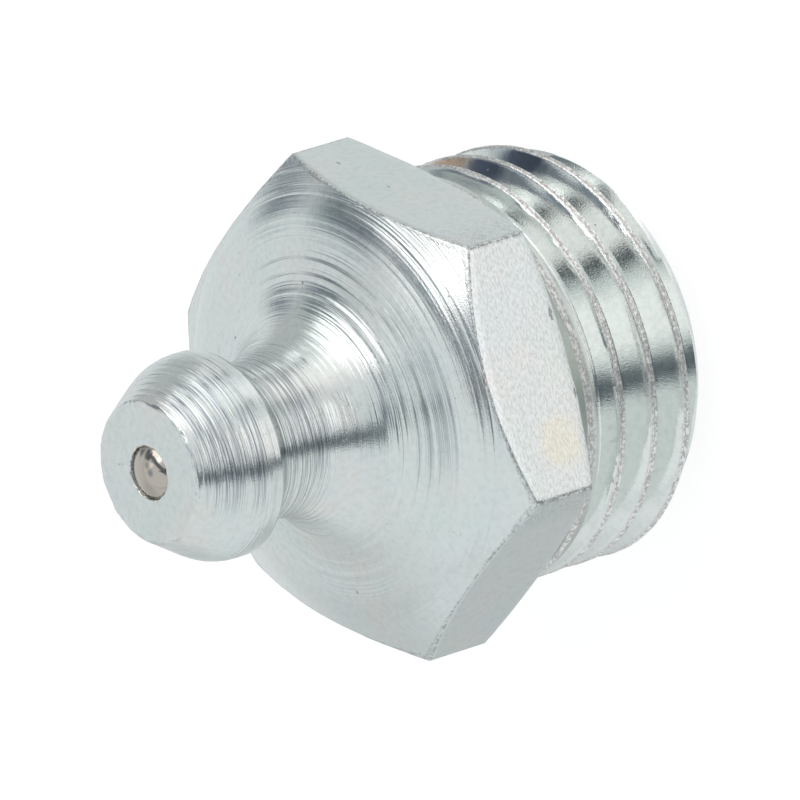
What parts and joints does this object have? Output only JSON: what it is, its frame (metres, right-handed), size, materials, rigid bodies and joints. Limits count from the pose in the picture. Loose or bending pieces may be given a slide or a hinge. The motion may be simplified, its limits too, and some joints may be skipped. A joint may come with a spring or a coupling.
{
  "type": "grease nipple",
  "caption": "Straight ball-valve grease nipple: parallel-threaded shank, hexagon, waisted neck and a cone head that a grease coupler snaps onto.",
  "frame": {"origin": "on the axis, in the plane of the seat under the hexagon, where the thread starts", "axes": "+Z along the axis, out of the head; +X through a corner of the hexagon"},
  "size_m": [0.0162, 0.014, 0.018],
  "materials": {
    "zinc_plated_steel": "clear zinc plating over turned steel, satin, with turning grooves",
    "ball_steel": "polished hardened steel ball with a thin film of oil",
    "spring_steel": "drawn spring wire"
  },
  "bodies": {
    "body": {"body": "zinc_plated_steel", "spring": "spring_steel"},
    "ball": {"ball": "ball_steel"}
  },
  "joints": [
    {"name": "ball_slide", "type": "slide", "parent": "body", "child": "ball", "axis": [0, 0, -1], "range_m": [0, 0.0012], "stiffness_N_per_m": 1080, "springref_m": -0.001, "deforming": ["spring"]}
  ]
}
